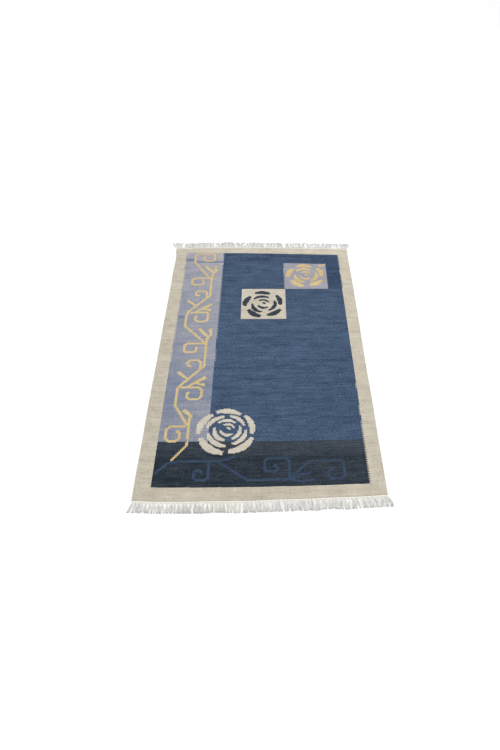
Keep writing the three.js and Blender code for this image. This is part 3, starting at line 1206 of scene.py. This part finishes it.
# Frayed fibres: each goes on from its yarn's tip, bending away by spread * share^2
def makeFibres(paths, draw):
    total = len(paths) * fringe["fibres"]
    tip = np.repeat(paths[:, -2], fringe["fibres"], axis=0)
    way = np.repeat(paths[:, -1] - paths[:, -3], fringe["fibres"], axis=0)
    way /= np.linalg.norm(way, axis=-1, keepdims=True)
    taper = np.array(fringe["fibreTaper"])
    share = np.linspace(0, 1, len(taper))[None, :, None]
    reach = fringe["fibreLength"] * draw.uniform(*fringe["fibreRange"], (total, 1, 1))
    spread = draw.normal(0, 1, (total, 1, 3)) * np.array(fringe["fibreSpread"])
    start = draw.normal(0, fringe["fibreStart"], (total, 1, 3))
    bent = tip[:, None] + start + way[:, None] * reach * share + spread * share**2
    bent[..., 2] = np.maximum(bent[..., 2], fringe["fibreRadius"])
    thin = np.full((total, len(taper)), fringe["fibreRadius"]) * taper
    return tubes(bent, thin, fringe["fibreSides"])


nearHeader = makeHeader("nearHeader", "near")
farHeader = makeHeader("farHeader", "far")
nearYarns = makeYarns("nearYarns", "near")
farYarns = makeYarns("farYarns", "far")
print("headers and fringe made:", len(nearYarns.data.polygons), "faces in the near fringe")

# In each cotton the root colour is painted light, a paler colour at the yarns' start against the shade
# by the header; the last two values are the darkening towards the tips, partly soil and partly painted
# shade, and the painted shade near the floor
cottons = {
    "twinedCotton": {"light": "#eeebe2", "dark": "#e3dfd4"},
    "nearCotton": {"root": "#faf8ef", "light": "#fcfaf6", "dark": "#d9d7d3", "cream": "#e9e2cc"}
    | {"tipSoilAndShade": 0.09, "paintedLowShade": 0.24},
    # The far fringe's shades are a little darker than the near one's: painted shade for the shaded
    # sides of its curled yarns
    "farCotton": {"root": "#e7e5df", "light": "#f4f3f1", "dark": "#cdccc9", "cream": "#e4dfce"}
    | {"tipSoilAndShade": 0.20, "paintedLowShade": 0.24},
}

# The tint's pace a metre, the power by which soil and painted shade grow towards a yarn's tip, the
# height under which yarns get painted shade near the floor, and how many times shorter than the yarn
# the start of that painted shade and its pale root are; the pale root is painted light against the
# header's shade
cottonLook = {
    "tintPace": 14.0,
    "tipSoilAndShadePower": 2.0,
    "paintedShadeBelow": 0.004,
    "paintedShadeFade": 3.0,
    "rootLightFade": 3.5,
    "bump": 0.6,
    "finish": {"Roughness": 0.95, "Specular IOR Level": 0.1, "Sheen Weight": 0.05},
}


# Ply: a groove of a two-ply yarn winds round it, so height is cos(2 angle + 2 pi run / turn), and the
# groove is painted darker by the contrast, a painted shade
def plyMaker(tree, given):
    across, upright, run = separate(tree, given["Twist"])
    angle = calc(tree, "ARCTAN2", upright, across)
    wound = calc(tree, "DIVIDE", times(tree, run, 2 * math.pi), given["Turn"])
    ply = calc(tree, "COSINE", calc(tree, "MULTIPLY_ADD", angle, 2.0, wound))
    raised = calc(tree, "MULTIPLY_ADD", ply, 0.5, 0.5)
    # Painted shade: the tone darkens in the groove between the plies
    paintedGrooveShade = calc(tree, "SUBTRACT", 1.0, raised)
    return {
        "Tone": calc(tree, "SUBTRACT", 1.0, times(tree, paintedGrooveShade, given["Contrast"])),
        "Height": times(tree, raised, given["Depth"]),
    }


plyGroup = makeGroup(
    "pliedYarn",
    [("Twist", "Vector", None), ("Turn", "Float", 0.008)]
    + [("Contrast", "Float", 0.15), ("Depth", "Float", 0.0003)],
    [("Tone", "Float"), ("Height", "Float")],
    plyMaker,
)


def makeCottonMaterial(name, isFringe):
    cotton = cottons[name]
    material, tree, shader = startMaterial(name)
    place = addNode(tree, "ShaderNodeTexCoord").outputs["Object"]
    fibres = useGroup(tree, fibreGroup, Vector=place, Scale=1800.0, Contrast=0.18, Depth=0.0002)
    tint, tone, height = noise(tree, place, cottonLook["tintPace"]), fibres["Tone"], fibres["Height"]
    light, dark = linear(cotton["light"]), linear(cotton["dark"])
    if isFringe:
        look = addNode(tree, "ShaderNodeAttribute", attribute_name="look").outputs["Vector"]
        tint, cream, alongYarn = separate(tree, look)
        light = mixColor(tree, cream, light, linear(cotton["cream"]))
        twist = addNode(tree, "ShaderNodeAttribute", attribute_name="twist").outputs["Vector"]
        ply = useGroup(tree, plyGroup, Twist=twist)
        # Darker towards the tip: partly soil and partly painted shade of the curled tips
        tipSoiledAndShaded = times(tree, calc(tree, "POWER", alongYarn, cottonLook["tipSoilAndShadePower"]), cotton["tipSoilAndShade"])
        # Painted shade: darker where a yarn lies low near the floor, past its start
        raised = calc(tree, "DIVIDE", separate(tree, place)[2], cottonLook["paintedShadeBelow"])
        low = calc(tree, "SUBTRACT", 1.0, calc(tree, "MINIMUM", raised, 1.0))
        pastRoot = calc(tree, "MULTIPLY", alongYarn, cottonLook["paintedShadeFade"], clamp=True)
        depth = times(tree, pastRoot, cotton["paintedLowShade"], low)
        paintedLowShade = calc(tree, "SUBTRACT", 1.0, depth)
        tone = times(tree, tone, calc(tree, "SUBTRACT", 1.0, tipSoiledAndShaded), paintedLowShade, ply["Tone"])
        height = calc(tree, "ADD", height, ply["Height"])
    color = mixColor(tree, tint, light, dark)
    if isFringe:
        # Painted light: the yarn's start is mixed towards a paler colour, against the shade by the
        # header
        paintedRootLight = calc(tree, "MULTIPLY_ADD", alongYarn, -cottonLook["rootLightFade"], 1.0, clamp=True)
        color = mixColor(tree, paintedRootLight, color, linear(cotton["root"]))
    shade(tree, shader, color, tone)
    addBump(tree, shader, height, cottonLook["bump"])
    typeIn(shader, cottonLook["finish"])
    return material


twinedCotton = makeCottonMaterial("twinedCotton", False)
for piece in (nearHeader, farHeader):
    piece.data.materials.append(twinedCotton)
nearYarns.data.materials.append(makeCottonMaterial("nearCotton", True))
farYarns.data.materials.append(makeCottonMaterial("farCotton", True))
print("cotton ready")


def makeFloor():
    half = studio["floorSize"] / 2
    corners = np.array([(-half, -half, 0), (half, -half, 0), (half, half, 0), (-half, half, 0)])
    piece = makePiece("studioFloor", corners - (0, 0, studio["floorDrop"]), [(0, 1, 2, 3)])
    material, tree, shader = startMaterial("paleFloor")
    place = addNode(tree, "ShaderNodeTexCoord").outputs["Object"]
    pace, amount = studio["floorPatches"]
    tone = calc(tree, "MULTIPLY_ADD", noise(tree, place, pace), amount, studio["floorTone"])
    tree.links.new(combine(tree, tone, tone, tone), shader.inputs["Base Color"])
    shader.inputs["Roughness"].default_value = 0.9
    piece.data.materials.append(material)
    return piece


makeFloor()

# Into the frame
for piece, node, slot in (
    (wovenRug, "woven_rug", "rug_wool"),
    (nearHeader, "near_fringe", "fringe_cotton"),
    (nearYarns, "near_fringe", "fringe_cotton"),
    (farHeader, "far_fringe", "fringe_cotton"),
    (farYarns, "far_fringe", "fringe_cotton"),
):
    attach(piece, "root")
    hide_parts(node)

print("pieces ride on the root")
